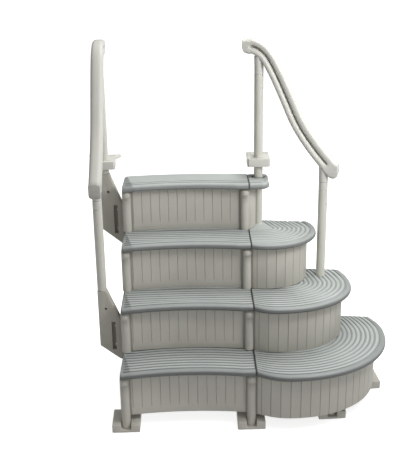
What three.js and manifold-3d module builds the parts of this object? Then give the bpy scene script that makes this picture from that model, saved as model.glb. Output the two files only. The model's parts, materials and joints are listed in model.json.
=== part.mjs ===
// Pool entry steps with two handrails: four curved treads on round columns and
// plank-faced risers, a fan-shaped add-on of four treads on the right, and a
// handrail on each side that stands on two tubular posts.
// Units are millimetres and +Z is up. The front, where a swimmer steps on, faces -Y.
// The origin is on the floor, under the axis of the bottom centre column.
import * as THREE from "three";
import { mergeVertices } from "three/addons/utils/BufferGeometryUtils.js";
import Module from "manifold-3d";

const wasm = await Module();
wasm.setup();

// ---- driving dimensions ------------------------------------------------------------

const GAP = 0.3; // clearance between pieces that rest on each other
const TREAD_TOP = [341, 608, 875, 1142]; // walking heights, bottom step first
const COLUMN_Y = [0, 198, 383, 568]; // depth of each step's pair of columns
const STEPS = TREAD_TOP.length;
const LIP_HEIGHT = 32; // thickness of a tread at its front lip
const NOSE = 44; // how far a tread's lip stands in front of its columns
const SAG = 25; // how far the middle of a left tread curves away from the user

const LEFT_X = -644; // axis of the bottom left column
const SPLAY = 0.02; // the left side closes in by this much per millimetre of depth
const COLUMN_RADIUS = 24;
const LEFT_OVERHANG = 18; // the left treads' end, outside the column axis
const SEAM_LEFT = 19.5; // right end of the left treads
const SEAM_RIGHT = 22.5; // left end of the add-on treads
const TOP_REAR_Y = 708; // rear edge of the top tread, at its ends
const END_BLOCK = 44; // straight stretch of lip in front of each column
const LIP_CORNER = 10;
const TREAD_OVERLAP = 52; // how far a tread runs on behind the next columns
const FAN_OVERLAP = 98; // the same on the add-on, measured inside the next lip

const RISER_THICK = 14;
const RISER_FACE = 2; // the left risers' face behind the column axis
const RISER_INSET = 40; // the add-on risers' face inside the lip, at the front
const RISER_SIDE_INSET = [56, 47, 46]; // and at each step's widest point
const RISER_CLEAR = 2; // between a riser's end and the column beside it
const FLOOR_CLEARANCE = 78; // bottom edge of the lowest risers

// Add-on lips: the crown is the foremost point, right is the widest point, and the
// corner is where the lip meets the tread's straight rear edge.
const FAN = [
  { crown: [200, -109], right: [749, 388], corner: [706, 545] },
  { crown: [150, 110], right: [566, 448], corner: [535, 603] },
  { crown: [110, 320], right: [385, 575], corner: [365, 669] },
];
const FULLNESS = 0.95; // below 1, the fronts bulge out further than an ellipse
const REAR_SLOPE = 0.145; // the add-on's rear edges fall back towards the seam
const BEYOND = 900; // clear of the whole part, for cutting

// The add-on's top tread, with a lower shelf at the rear round the post.
const TOP_FAN = { right: 131, rear: 705, frontCorner: 46, rearCorner: 24 };
const SHELF = { front: 646, depth: 12, notchRadius: 4, notchPitch: 26 };
const TOP_FAN_RISER = [
  [26, 569], [40, 577], [52, 592], [60, 610], [63, 628], [49, 628], [46, 640], [44, 700], [26, 700],
];

const KNUCKLE_RADIUS = 19;
const KNUCKLE_FORWARD = 12;
const KNUCKLE_HEIGHT = 45;

const FOOT = { width: 142, front: -40, rear: 115, height: 46, floor: 14 };
const REAR_FOOT = { width: 142, front: 565, rear: 700, centreX: 15 };
const MID_FOOT_AT = [425, 80];
const MID_FOOT_TURN = THREE.MathUtils.degToRad(3);
const CORNER_FOOT_AT = [647, 371];
const CORNER_FOOT_TURN = THREE.MathUtils.degToRad(4);
const CORNER_FOOT_REAR = 240; // this foot runs on further back than the others
const CORNER_FOOT_SHIFT = 17; // its block stands off to the right of its leg

const FRAME_THICK = 20;
const FRAME_SETBACK = 54; // a side frame's upright edge behind each pair of columns
const FRAME_REAR = 700;
const ADDON_FRAME_X = 36;
const LEFT_FRAME_OFFSET = 12; // the left frame lies outside its columns' axes

const TUBE_RADIUS = 24;
const TUBE_WALL = 3;
const TUBE_CLEARANCE = 0.7; // round a post where it passes through another piece
const SPIGOT_RADIUS = TUBE_RADIUS - TUBE_WALL - 0.5;
const SPIGOT_LENGTH = 105;
const POST_SEAT = 20; // depth of the upper right post's seat in the third tread
const SOCKET_FLOOR = 434; // inside floor of the lower right post's socket
const SOCKET_WALL = 6;

const POST_SPACING = 357; // between a handrail's two posts
const POSTS = [
  { along: 0, joint: 1698, into: 1790 }, // upper: where rail and post meet, top of stub
  { along: POST_SPACING, joint: 1095, into: 1225 },
];
const RIGHT_UPPER = [78, 664];
const RIGHT_TURN = Math.atan2(-118, 337); // direction from the upper to the lower post
const LEFT_UPPER = [-751, 664];
const LEFT_TURN = Math.atan2(-357, -11);

// The handrail in its own plane: distance from the upper post's axis, and height.
const RAIL_LINE = [
  [-84, 1843], [-20, 1837], [37, 1799], [93, 1710], [155, 1582],
  [217, 1452], [296, 1337], [388, 1231], [446, 1174],
];
const RAIL_HEAD = [[-84, 1805], [-84, 1876]];
const RAIL_TAIL = [[435, 1248], [435, 1182], [415, 1164], [385, 1172]];
const RAIL_WIDTH = 60;
const RAIL_EDGE = 10; // radius of its long edges
const RAIL_HALF_TOP = 38; // half its depth at the upper end
const RAIL_HALF_BOTTOM = 43; // and at the lower end
const WEB = { from: -47, to: 386, above: 0.3, below: -0.16, depth: 10, pieces: 40 }; // recess in its sides

const BUTTON = { drop: 74, radius: 4.5, inner: 13, outer: 28, boreInner: 5, boreClearance: 0.5 };
const BUTTON_TURN = THREE.MathUtils.degToRad(-18); // away from the rail's plane

const BRACKET_TOP = [1177, 650]; // upper and lower bracket on the left side
const BRACKET_HEIGHT = 400;
const BRACKET_EDGE = 7;
const BRACKET_TOE = 20; // flat bottom beside the side frame
const BRACKET_HEEL = 84; // the outer edge ends this far above the bottom
const WING_RISE = 190; // the wing reaches the side frame this far below the post
const WING_GAP = 0.9; // covers the slight turn of the side frame's face
const BRACKET_HOLE = { x: 16, z: -101, radius: 6.5, depth: 15 };
const SLOT = { x: 52, width: 21, top: -177, bottom: -340, depth: 20 };
const BOLT = { drops: [-205, -312], radius: 3.5, forward: -10, intoFrame: 14 };
const BOLT_HEAD = { radius: 5.5, height: 4 };

const FLANGE = { half: 61, ear: 88, front: -45, blockRear: 40, rear: 105, corner: 8 };
const DECK = 1236; // height of the pool deck that the flanges are screwed to
const FLANGE_PLATE = 14;
const FLANGE_UNDER = 1207; // underside of the flange's block, in front of the deck's edge
const SCREW_HOLE_RADIUS = 4;
const SCREW_HOLES = [[-38, 84], [0, 70], [38, 84]];

// ---- materials ---------------------------------------------------------------------

const plastic = (color, roughness) => new THREE.MeshStandardMaterial({ color, roughness, metalness: 0 });
const treadPlastic = plastic("#b4bebb", 0.55);
const warmPlastic = plastic("#a8a296", 0.6);
const railPlastic = plastic("#d3d0c6", 0.45);
const bracketPlastic = plastic("#8f8a80", 0.6);
const tubePlastic = plastic("#c4c1b6", 0.45);
const steel = new THREE.MeshStandardMaterial({ color: "#a9adb0", roughness: 0.35, metalness: 0.9 });

// ---- solids ------------------------------------------------------------------------

const assembly = new THREE.Group();

function addMesh(name, geometry, material) {
  const mesh = new THREE.Mesh(geometry, material);
  mesh.name = name;
  assembly.add(mesh);
  return mesh;
}

// A closed three.js geometry as a solid that can be joined and cut.
function toSolid(geometry) {
  const bare = geometry.index ? geometry.toNonIndexed() : geometry.clone();
  bare.deleteAttribute("normal");
  bare.deleteAttribute("uv");
  const merged = mergeVertices(bare, 1e-4);
  return new wasm.Manifold(
    new wasm.Mesh({
      numProp: 3,
      vertProperties: new Float32Array(merged.attributes.position.array),
      triVerts: new Uint32Array(merged.index.array),
    }),
  );
}

function toGeometry(solid) {
  const mesh = solid.getMesh();
  const geometry = new THREE.BufferGeometry();
  geometry.setAttribute("position", new THREE.BufferAttribute(new Float32Array(mesh.vertProperties), 3));
  geometry.setIndex(new THREE.BufferAttribute(new Uint32Array(mesh.triVerts), 1));
  geometry.computeVertexNormals();
  return geometry;
}

const join = (...pieces) => pieces.map(toSolid).reduce((whole, next) => whole.add(next));
const cut = (solid, ...tools) => tools.map(toSolid).reduce((rest, tool) => rest.subtract(tool), solid);

// An outline seen from above, [x, y] points, raised from one height to another.
function prism(outline, low, high) {
  const shape = new THREE.Shape(outline.map(([x, y]) => new THREE.Vector2(x, y)));
  const geometry = new THREE.ExtrudeGeometry(shape, { depth: high - low, bevelEnabled: false });
  return geometry.translate(0, 0, low);
}

// An outline of [y, z] points, made into a plate that is centred on x = 0.
function sidePlate(outline, thick) {
  const shape = new THREE.Shape(outline.map(([y, z]) => new THREE.Vector2(y, z)));
  const geometry = new THREE.ExtrudeGeometry(shape, { depth: thick, bevelEnabled: false });
  const axes = new THREE.Matrix4().makeBasis(
    new THREE.Vector3(0, 1, 0),
    new THREE.Vector3(0, 0, 1),
    new THREE.Vector3(1, 0, 0),
  );
  return geometry.applyMatrix4(axes).translate(-thick / 2, 0, 0);
}

// An outline of [x, z] points, made into a plate with rounded edges, centred on y = 0.
function frontPlate(outline, thick, edge) {
  const shape = new THREE.Shape(outline.map(([x, z]) => new THREE.Vector2(x, z)));
  const bevel = { bevelEnabled: edge > 0, bevelThickness: edge, bevelSize: edge, bevelOffset: -edge };
  const options = { depth: thick - 2 * edge, bevelSegments: 3, ...bevel };
  const geometry = new THREE.ExtrudeGeometry(shape, options);
  const axes = new THREE.Matrix4().makeBasis(
    new THREE.Vector3(1, 0, 0),
    new THREE.Vector3(0, 0, 1),
    new THREE.Vector3(0, -1, 0),
  );
  return geometry.applyMatrix4(axes).translate(0, thick / 2 - edge, 0);
}

function uprightCylinder(radius, low, high, sides = 20) {
  const geometry = new THREE.CylinderGeometry(radius, radius, high - low, sides);
  return geometry.rotateX(Math.PI / 2).translate(0, 0, (low + high) / 2);
}

// A tube standing upright, open at both ends.
function uprightTube(outer, inner, low, high) {
  const profile = [[inner, low], [outer, low], [outer, high], [inner, high], [inner, low]];
  const points = profile.map(([r, z]) => new THREE.Vector2(r, z));
  return new THREE.LatheGeometry(points, 28).rotateX(Math.PI / 2);
}

// ---- plan curves -------------------------------------------------------------------

const leftAxis = (y) => LEFT_X + SPLAY * y;
const leftEdge = (y) => leftAxis(y) - LEFT_OVERHANG;
const treadUnder = (step) => TREAD_TOP[step] - LIP_HEIGHT - GAP;
const standsOn = (step) => (step === 0 ? FLOOR_CLEARANCE : TREAD_TOP[step - 1] + GAP);

// A shallow arc from (x0, y) to (x1, y) whose middle lies depth further back.
function shallowArc(x0, x1, y, depth, pieces = 12) {
  const half = (x1 - x0) / 2;
  const radius = (half * half + depth * depth) / (2 * depth);
  return Array.from({ length: pieces + 1 }, (_, i) => {
    const x = x0 + (i / pieces) * (x1 - x0);
    const away = x - x0 - half;
    return [x, y + depth - radius + Math.sqrt(radius * radius - away * away)];
  });
}

// The add-on's lip curve, or a copy of it that lies inset millimetres inside: an
// ellipse from the seam to the crown, on round the front to the widest point, and
// back to the rear edge.
function fanCurve(step, inset, startX = SEAM_RIGHT, sideInset = inset) {
  const { crown, right, corner } = FAN[step];
  const [crownX, crownY] = crown;
  const [rightX, rightY] = right;
  const across = rightX - crownX;
  const depth = rightY - crownY;
  const seamSine = (rightY - (COLUMN_Y[step] - NOSE)) / depth;
  const leftAcross = (crownX - SEAM_RIGHT) / Math.sqrt(1 - seamSine * seamSine);
  const cornerCosine = (corner[0] - crownX) / across;
  const rearDepth = (corner[1] - rightY) / Math.sqrt(1 - cornerCosine * cornerCosine);
  const rearY = corner[1] + REAR_SLOPE * inset;
  const points = [];
  const leftPieces = 4;
  for (let i = 0; i < leftPieces; i += 1) {
    const x = startX + (i / leftPieces) * (crownX - startX);
    const sine = Math.sqrt(1 - ((x - crownX) / leftAcross) ** 2);
    points.push([x, rightY - (depth - inset) * sine]);
  }
  const frontPieces = 14;
  for (let i = 0; i <= frontPieces; i += 1) {
    const angle = (Math.PI / 2) * (1 - i / frontPieces);
    const outward = (across - sideInset) * Math.cos(angle) ** FULLNESS;
    const forward = (depth - inset) * Math.sin(angle) ** FULLNESS;
    points.push([crownX + outward, rightY - forward]);
  }
  const rearAngle = Math.asin((rearY - rightY) / rearDepth);
  const rearPieces = 4;
  for (let i = 1; i <= rearPieces; i += 1) {
    const angle = (rearAngle * i) / rearPieces;
    points.push([crownX + (across - sideInset) * Math.cos(angle), rightY + rearDepth * Math.sin(angle)]);
  }
  return points;
}

// The whole area inside a fan curve, closed along the rear edge and the seam.
function fanArea(step, inset, startX = SEAM_RIGHT, sideInset = inset) {
  const curve = fanCurve(step, inset, startX, sideInset);
  const [endX, endY] = curve[curve.length - 1];
  return [...curve, [startX, endY + REAR_SLOPE * (endX - startX)]];
}

// The same area, run on past the rear edge and the seam, for cutting.
function fanCutter(step, inset, sideInset = inset) {
  const curve = fanCurve(step, inset, SEAM_RIGHT, sideInset);
  const [endX] = curve[curve.length - 1];
  return [...curve, [endX, BEYOND], [-10, BEYOND], [-10, curve[0][1]]];
}

// The lower post of a handrail, from its upper post and the rail's direction.
const lowerPost = ([x, y], turn) => [x + Math.cos(turn) * POST_SPACING, y + Math.sin(turn) * POST_SPACING];
const rightLowerPost = lowerPost(RIGHT_UPPER, RIGHT_TURN);
const leftLowerPost = lowerPost(LEFT_UPPER, LEFT_TURN);

// ---- treads ------------------------------------------------------------------------

// The left treads' lips curve gently away from the user between two end blocks.
function leftTread(step) {
  const front = COLUMN_Y[step] - NOSE;
  const top = step === STEPS - 1;
  const rear = top ? TOP_REAR_Y : COLUMN_Y[step + 1] + TREAD_OVERLAP;
  const lip = shallowArc(leftAxis(front) + END_BLOCK, -END_BLOCK, front, SAG);
  const back = top ? shallowArc(leftEdge(rear), SEAM_LEFT, rear, SAG).reverse() : [];
  const outline = [
    [leftEdge(front), front + LIP_CORNER],
    [leftEdge(front) + LIP_CORNER, front],
    ...lip,
    [SEAM_LEFT, front],
    ...(top ? back : [[SEAM_LEFT, rear], [leftEdge(rear), rear]]),
  ];
  const slab = prism(outline, TREAD_TOP[step] - LIP_HEIGHT, TREAD_TOP[step]);
  addMesh(`tread_left_${step + 1}`, slab, treadPlastic);
}

// The second add-on tread has a hole for the lower right post, and the third a seat
// for the upper one.
function rightTread(step) {
  const low = TREAD_TOP[step] - LIP_HEIGHT;
  const high = TREAD_TOP[step];
  let solid = toSolid(prism(fanArea(step, 0), low, high));
  if (step < 2) {
    solid = cut(solid, prism(fanCutter(step + 1, FAN_OVERLAP), low - 1, high + 1));
  }
  if (step === 1) {
    const [x, y] = rightLowerPost;
    solid = cut(solid, uprightCylinder(TUBE_RADIUS + TUBE_CLEARANCE, low - 1, high + 1).translate(x, y, 0));
  }
  if (step === 2) {
    const [x, y] = RIGHT_UPPER;
    const seat = uprightCylinder(TUBE_RADIUS + TUBE_CLEARANCE, high - POST_SEAT, high + 1);
    solid = cut(solid, seat.translate(x, y, 0));
  }
  addMesh(`tread_right_${step + 1}`, toGeometry(solid), treadPlastic);
}

// The small top tread of the add-on: a rounded front, and a lower shelf behind it
// with the hole that the upper right post passes through.
function topRightTread() {
  const { right, rear, frontCorner, rearCorner } = TOP_FAN;
  const low = TREAD_TOP[3] - LIP_HEIGHT;
  const high = TREAD_TOP[3];
  const front = COLUMN_Y[3] - NOSE;
  const arc = (cx, cy, radius, from) =>
    Array.from({ length: 7 }, (_, i) => {
      const angle = from + (i / 6) * (Math.PI / 2);
      return [cx + radius * Math.cos(angle), cy + radius * Math.sin(angle)];
    });
  const outline = [
    [SEAM_RIGHT, front],
    ...arc(right - frontCorner, front + frontCorner, frontCorner, -Math.PI / 2),
    ...arc(right - rearCorner, rear - rearCorner, rearCorner, 0),
    [SEAM_RIGHT, rear],
  ];
  const shelfArea = [[0, SHELF.front], [BEYOND, SHELF.front], [BEYOND, BEYOND], [0, BEYOND]];
  const shelf = prism(shelfArea, high - SHELF.depth, high + 1);
  const [postX, postY] = RIGHT_UPPER;
  const hole = uprightCylinder(TUBE_RADIUS + TUBE_CLEARANCE, low - 1, high + 1).translate(postX, postY, 0);
  const notches = [-1, 0, 1].map((side) => {
    const notch = uprightCylinder(SHELF.notchRadius, high - SHELF.depth, high + 1, 10);
    return notch.translate(postX + side * SHELF.notchPitch, SHELF.front - 1, 0);
  });
  const solid = cut(toSolid(prism(outline, low, high)), shelf, hole, ...notches);
  addMesh("tread_right_4", toGeometry(solid), treadPlastic);
}

// ---- risers ------------------------------------------------------------------------

function leftRiser(step) {
  const y = COLUMN_Y[step] + RISER_FACE;
  const from = leftAxis(y) + COLUMN_RADIUS + RISER_CLEAR;
  const to = -COLUMN_RADIUS - RISER_CLEAR;
  const face = shallowArc(from, to, y, SAG - RISER_FACE);
  const back = face.map(([x, faceY]) => [x, faceY + RISER_THICK]).reverse();
  const wall = prism([...face, ...back], standsOn(step), treadUnder(step));
  addMesh(`riser_left_${step + 1}`, wall, warmPlastic);
}

function rightRiser(step) {
  const start = COLUMN_RADIUS + RISER_CLEAR;
  const low = standsOn(step);
  const high = treadUnder(step);
  const side = RISER_SIDE_INSET[step];
  const whole = toSolid(prism(fanArea(step, RISER_INSET, start, side), low, high));
  const hollow = prism(fanCutter(step, RISER_INSET + RISER_THICK, side + RISER_THICK), low - 1, high + 1);
  addMesh(`riser_right_${step + 1}`, toGeometry(cut(whole, hollow)), warmPlastic);
}

// The top add-on riser: one bent plank beside the column, with a leg to the rear.
function topRightRiser() {
  addMesh("riser_right_4", prism(TOP_FAN_RISER, standsOn(3), treadUnder(3)), warmPlastic);
}

// ---- columns and feet --------------------------------------------------------------

// A round column with a knuckle on its front that locks under the tread's lip.
function column(name, step, x) {
  const low = step === 0 ? FOOT.floor + GAP : standsOn(step);
  const high = treadUnder(step);
  const kneeZ = high - KNUCKLE_HEIGHT + KNUCKLE_RADIUS;
  const knee = new THREE.SphereGeometry(KNUCKLE_RADIUS, 20, 10).rotateX(Math.PI / 2);
  const solid = join(
    uprightCylinder(COLUMN_RADIUS, low, high, 28),
    uprightCylinder(KNUCKLE_RADIUS, kneeZ, high).translate(0, -KNUCKLE_FORWARD, 0),
    knee.translate(0, -KNUCKLE_FORWARD, kneeZ),
  );
  addMesh(name, toGeometry(solid), warmPlastic).position.set(x, COLUMN_Y[step], 0);
}

function plainLeg(name, [x, y]) {
  const leg = uprightCylinder(COLUMN_RADIUS, FOOT.floor + GAP, treadUnder(0), 28);
  addMesh(name, leg, warmPlastic).position.set(x, y, 0);
}

// A foot block with a slot, open to the front and the top, in which a leg stands.
function slottedFoot(name, [x, y], { turn = 0, rear = FOOT.rear, shift = 0 } = {}) {
  const left = shift - FOOT.width / 2;
  const right = shift + FOOT.width / 2;
  const slot = COLUMN_RADIUS + 1;
  const block = [[left, FOOT.front], [right, FOOT.front], [right, rear], [left, rear]];
  const end = Array.from({ length: 13 }, (_, i) => {
    const angle = (i / 12) * Math.PI;
    return [slot * Math.cos(angle), slot * Math.sin(angle)];
  });
  const opening = [[-slot, FOOT.front - 1], [slot, FOOT.front - 1], ...end];
  const solid = cut(toSolid(prism(block, 0, FOOT.height)), prism(opening, FOOT.floor, FOOT.height + 1));
  const mesh = addMesh(name, toGeometry(solid), warmPlastic);
  mesh.position.set(x, y, 0);
  mesh.rotation.z = turn;
}

function plainFoot(name, x) {
  const half = REAR_FOOT.width / 2;
  const { front, rear } = REAR_FOOT;
  const outline = [[-half, front], [half, front], [half, rear], [-half, rear]];
  addMesh(name, prism(outline, 0, FOOT.height), warmPlastic).position.set(x, 0, 0);
}

// ---- side frames -------------------------------------------------------------------

// A stepped plate that carries the treads from behind, up to the given step. The
// bolts, given as [y, z], go into bores across it.
function sideFrame(name, x, steps, turn = 0, bolts = []) {
  const front = COLUMN_RADIUS + RISER_CLEAR;
  const outline = [[front, FOOT.height + GAP], [front, treadUnder(0)]];
  for (let step = 1; step < steps; step += 1) {
    const edge = COLUMN_Y[step] + FRAME_SETBACK;
    outline.push([edge, treadUnder(step - 1)], [edge, treadUnder(step)]);
  }
  outline.push([FRAME_REAR, treadUnder(steps - 1)], [FRAME_REAR, FOOT.height + GAP]);
  const boreRadius = BOLT.radius + 1;
  const bores = bolts.map(([y, z]) => {
    const bore = new THREE.CylinderGeometry(boreRadius, boreRadius, FRAME_THICK + 2, 12);
    return bore.rotateZ(Math.PI / 2).translate(0, y, z);
  });
  const plate = cut(toSolid(sidePlate(outline.reverse(), FRAME_THICK)), ...bores);
  const mesh = addMesh(name, toGeometry(plate), warmPlastic);
  mesh.position.x = x;
  mesh.rotation.z = turn;
}

// ---- handrails ---------------------------------------------------------------------

// The rail's middle line moved sideways by the given share of its half depth.
function railEdge(share, pieces = 22) {
  const points = RAIL_LINE.map(([along, z]) => new THREE.Vector3(along, z, 0));
  const curve = new THREE.CatmullRomCurve3(points, false, "centripetal");
  return Array.from({ length: pieces + 1 }, (_, i) => {
    const part = i / pieces;
    const point = curve.getPointAt(part);
    const tangent = curve.getTangentAt(part);
    const half = share * (RAIL_HALF_TOP + (RAIL_HALF_BOTTOM - RAIL_HALF_TOP) * part);
    return [point.x - half * tangent.y, point.y + half * tangent.x];
  });
}

// The upper and lower edges stop short of the ends, so that the rounded edges fit.
function railOutline() {
  const headEnd = RAIL_HEAD[0][0] + 15;
  const upper = railEdge(1).filter(([along]) => along > headEnd && along < RAIL_TAIL[0][0] - 8);
  const lower = railEdge(-1).filter(([along]) => along > headEnd && along < RAIL_TAIL[3][0] - 15);
  return [...RAIL_HEAD, ...upper, ...RAIL_TAIL, ...lower.reverse()].reverse();
}

// A round bar that points away from an upright axis, from inner to outer radius.
function radialPin(radius, inner, outer, z) {
  const pin = new THREE.CylinderGeometry(radius, radius, outer - inner, 16).rotateZ(Math.PI / 2);
  return pin.translate((inner + outer) / 2, 0, 0).rotateZ(BUTTON_TURN).translate(0, 0, z);
}

// A handrail with a stub and a spigot over each post. In its own frame, x runs from
// the upper post to the lower one.
function rail(name, [x, y], turn) {
  const recess = [...railEdge(WEB.above, WEB.pieces), ...railEdge(WEB.below, WEB.pieces).reverse()];
  const web = recess.filter(([along]) => along > WEB.from && along < WEB.to).reverse();
  const cutters = [-1, 1].map((side) =>
    frontPlate(web, 2 * WEB.depth, 0).translate(0, (side * RAIL_WIDTH) / 2, 0),
  );
  let solid = cut(toSolid(frontPlate(railOutline(), RAIL_WIDTH, RAIL_EDGE)), ...cutters);
  for (const { along, joint, into } of POSTS) {
    const stub = uprightCylinder(TUBE_RADIUS, joint + GAP, into, 28);
    const spigot = uprightCylinder(SPIGOT_RADIUS, joint - SPIGOT_LENGTH, joint + 5, 28);
    solid = solid.add(join(stub.translate(along, 0, 0), spigot.translate(along, 0, 0)));
    const boreRadius = BUTTON.radius + BUTTON.boreClearance;
    const bore = radialPin(boreRadius, BUTTON.boreInner, TUBE_RADIUS + 2, joint - BUTTON.drop);
    solid = cut(solid, bore.translate(along, 0, 0));
  }
  const mesh = addMesh(name, toGeometry(solid), railPlastic);
  mesh.position.set(x, y, 0);
  mesh.rotation.z = turn;
}

// A post tube under one of the rail's stubs, with the hole for its snap button.
function post(name, [x, y], turn, { joint }, bottom) {
  const tube = toSolid(uprightTube(TUBE_RADIUS, TUBE_RADIUS - TUBE_WALL, bottom, joint));
  const boreRadius = BUTTON.radius + BUTTON.boreClearance;
  const bore = radialPin(boreRadius, TUBE_RADIUS - 14, TUBE_RADIUS + 5, joint - BUTTON.drop);
  const mesh = addMesh(name, toGeometry(cut(tube, bore)), tubePlastic);
  mesh.position.set(x, y, 0);
  mesh.rotation.z = turn;
}

function snapButton(name, [x, y], turn, { joint }) {
  const tip = BUTTON.outer - BUTTON.radius;
  const dome = new THREE.SphereGeometry(BUTTON.radius, 16, 8).translate(tip, 0, 0);
  const pin = radialPin(BUTTON.radius, BUTTON.inner, tip, joint - BUTTON.drop);
  const solid = join(pin, dome.rotateZ(BUTTON_TURN).translate(0, 0, joint - BUTTON.drop));
  const mesh = addMesh(name, toGeometry(solid), steel);
  mesh.position.set(x, y, 0);
  mesh.rotation.z = turn;
}

// ---- brackets, socket and deck flanges ---------------------------------------------

// From a left post's axis to its bracket's flat inner edge.
const wingReach = ([x, y]) => leftAxis(y) - LEFT_FRAME_OFFSET - FRAME_THICK / 2 - WING_GAP - x;

// A wing bracket: the post stands on its round top, and its straight inner edge is
// bolted to the left side frame through a slot in the front.
function bracket(name, place, top) {
  const half = TUBE_RADIUS;
  const reach = wingReach(place);
  const outline = [
    [-half, 0],
    [half, 0],
    [reach, -WING_RISE],
    [reach, -BRACKET_HEIGHT],
    [reach - BRACKET_TOE, -BRACKET_HEIGHT],
    [-half, -BRACKET_HEIGHT + BRACKET_HEEL],
  ];
  const plate = frontPlate(outline.reverse(), 2 * half, BRACKET_EDGE);
  const spigot = uprightCylinder(SPIGOT_RADIUS, -20, 60, 28);
  const { x, z, radius, depth } = BRACKET_HOLE;
  const hole = new THREE.CylinderGeometry(radius, radius, 2 * depth, 18).translate(x, -half, z);
  const slot = new THREE.BoxGeometry(SLOT.width, 2 * SLOT.depth, SLOT.top - SLOT.bottom);
  slot.translate(SLOT.x, -half, (SLOT.top + SLOT.bottom) / 2);
  const boreRadius = BOLT.radius + 0.5;
  const bores = BOLT.drops.map((drop) => {
    const bore = new THREE.CylinderGeometry(boreRadius, boreRadius, reach, 16).rotateZ(Math.PI / 2);
    return bore.translate(SLOT.x + reach / 2, BOLT.forward, drop);
  });
  const solid = cut(join(plate, spigot), hole, slot, ...bores);
  addMesh(name, toGeometry(solid), bracketPlastic).position.set(place[0], place[1], top);
}

// A bolt along +X: its head lies in the bracket's slot, its shank in the side frame.
function bracketBolt(name, place, z) {
  const seat = SLOT.x + SLOT.width / 2 - GAP;
  const end = wingReach(place) + BOLT.intoFrame;
  const head = new THREE.CylinderGeometry(BOLT_HEAD.radius, BOLT_HEAD.radius, BOLT_HEAD.height, 6);
  head.rotateZ(Math.PI / 2).translate(seat - BOLT_HEAD.height / 2, 0, 0);
  const shank = new THREE.CylinderGeometry(BOLT.radius, BOLT.radius, end - seat + 2, 16);
  shank.rotateZ(Math.PI / 2).translate((end + seat - 2) / 2, 0, 0);
  addMesh(name, toGeometry(join(head, shank)), steel).position.set(place[0], place[1] + BOLT.forward, z);
}

// The closed cup under the second add-on tread that the lower right post stands in.
function postSocket(name, [x, y]) {
  const inner = TUBE_RADIUS + TUBE_CLEARANCE;
  const outer = TUBE_RADIUS + SOCKET_WALL;
  const bottom = SOCKET_FLOOR - SOCKET_WALL;
  const rim = treadUnder(1);
  const profile = [
    [0, bottom],
    [outer, bottom],
    [outer, rim],
    [inner, rim],
    [inner, SOCKET_FLOOR],
    [0, SOCKET_FLOOR],
  ];
  const cup = new THREE.LatheGeometry(profile.map(([r, z]) => new THREE.Vector2(r, z)), 28);
  addMesh(name, cup.rotateX(Math.PI / 2), warmPlastic).position.set(x, y, 0);
}

// A deck flange: a thick block round the post in front of the deck's edge, and a
// plate behind it that is screwed down on the deck. The ear is the half width of
// the plate's rear end.
function deckFlange(name, [x, y], ear) {
  const { half, front, blockRear, rear, corner } = FLANGE;
  const top = DECK + FLANGE_PLATE;
  const block = [
    [-half + corner, front],
    [half - corner, front],
    [half, front + corner],
    [half, blockRear],
    [-half, blockRear],
    [-half, front + corner],
  ];
  const wing = [
    [-half, 20],
    [half, 20],
    [half, 55],
    [ear, rear - 6],
    [ear - 4, rear],
    [-ear + 4, rear],
    [-ear, rear - 6],
    [-half, 55],
  ];
  const bore = uprightCylinder(TUBE_RADIUS + TUBE_CLEARANCE, FLANGE_UNDER - 1, top + 1, 28);
  const holes = SCREW_HOLES.map(([holeX, holeY]) =>
    uprightCylinder(SCREW_HOLE_RADIUS, DECK - 1, top + 1, 12).translate(holeX, holeY, 0),
  );
  const solid = cut(join(prism(block, FLANGE_UNDER, top), prism(wing, DECK, top)), bore, ...holes);
  addMesh(name, toGeometry(solid), railPlastic).position.set(x, y, 0);
}

// ---- assembly ----------------------------------------------------------------------

for (let step = 0; step < STEPS; step += 1) {
  leftTread(step);
  leftRiser(step);
  column(`column_left_${step + 1}`, step, leftAxis(COLUMN_Y[step]));
  column(`column_centre_${step + 1}`, step, 0);
}
for (let step = 0; step < FAN.length; step += 1) {
  rightTread(step);
  rightRiser(step);
}
topRightTread();
topRightRiser();

slottedFoot("foot_front_left", [LEFT_X, 0]);
slottedFoot("foot_front_centre", [0, 0]);
slottedFoot("foot_mid_right", MID_FOOT_AT, { turn: MID_FOOT_TURN });
slottedFoot("foot_corner_right", CORNER_FOOT_AT, {
  turn: CORNER_FOOT_TURN,
  rear: CORNER_FOOT_REAR,
  shift: CORNER_FOOT_SHIFT,
});
plainFoot("foot_rear_left", leftAxis(REAR_FOOT.front));
plainFoot("foot_rear_centre", REAR_FOOT.centreX);
plainLeg("leg_mid_right", MID_FOOT_AT);
plainLeg("leg_corner_right", CORNER_FOOT_AT);

const brackets = [
  { name: "upper", place: LEFT_UPPER, top: BRACKET_TOP[0] },
  { name: "lower", place: leftLowerPost, top: BRACKET_TOP[1] },
];
const boltPlaces = [];
for (const { name, place, top } of brackets) {
  bracket(`bracket_${name}`, place, top);
  BOLT.drops.forEach((drop, i) => {
    bracketBolt(`bracket_bolt_${name}_${i + 1}`, place, top + drop);
    boltPlaces.push([place[1] + BOLT.forward, top + drop]);
  });
}

sideFrame("side_frame_left", LEFT_X - LEFT_FRAME_OFFSET, 4, -Math.atan(SPLAY), boltPlaces);
sideFrame("side_frame_centre", 0, 4);
sideFrame("side_frame_addon", ADDON_FRAME_X, 3);

const [upper, lower] = POSTS;
rail("handrail_right", RIGHT_UPPER, RIGHT_TURN);
post("post_upper_right", RIGHT_UPPER, RIGHT_TURN, upper, TREAD_TOP[2] - POST_SEAT + GAP);
post("post_lower_right", rightLowerPost, RIGHT_TURN, lower, SOCKET_FLOOR + GAP);
snapButton("snap_button_upper_right", RIGHT_UPPER, RIGHT_TURN, upper);
snapButton("snap_button_lower_right", rightLowerPost, RIGHT_TURN, lower);
postSocket("post_socket_right", rightLowerPost);
deckFlange("deck_flange_right", RIGHT_UPPER, FLANGE.half);

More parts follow.
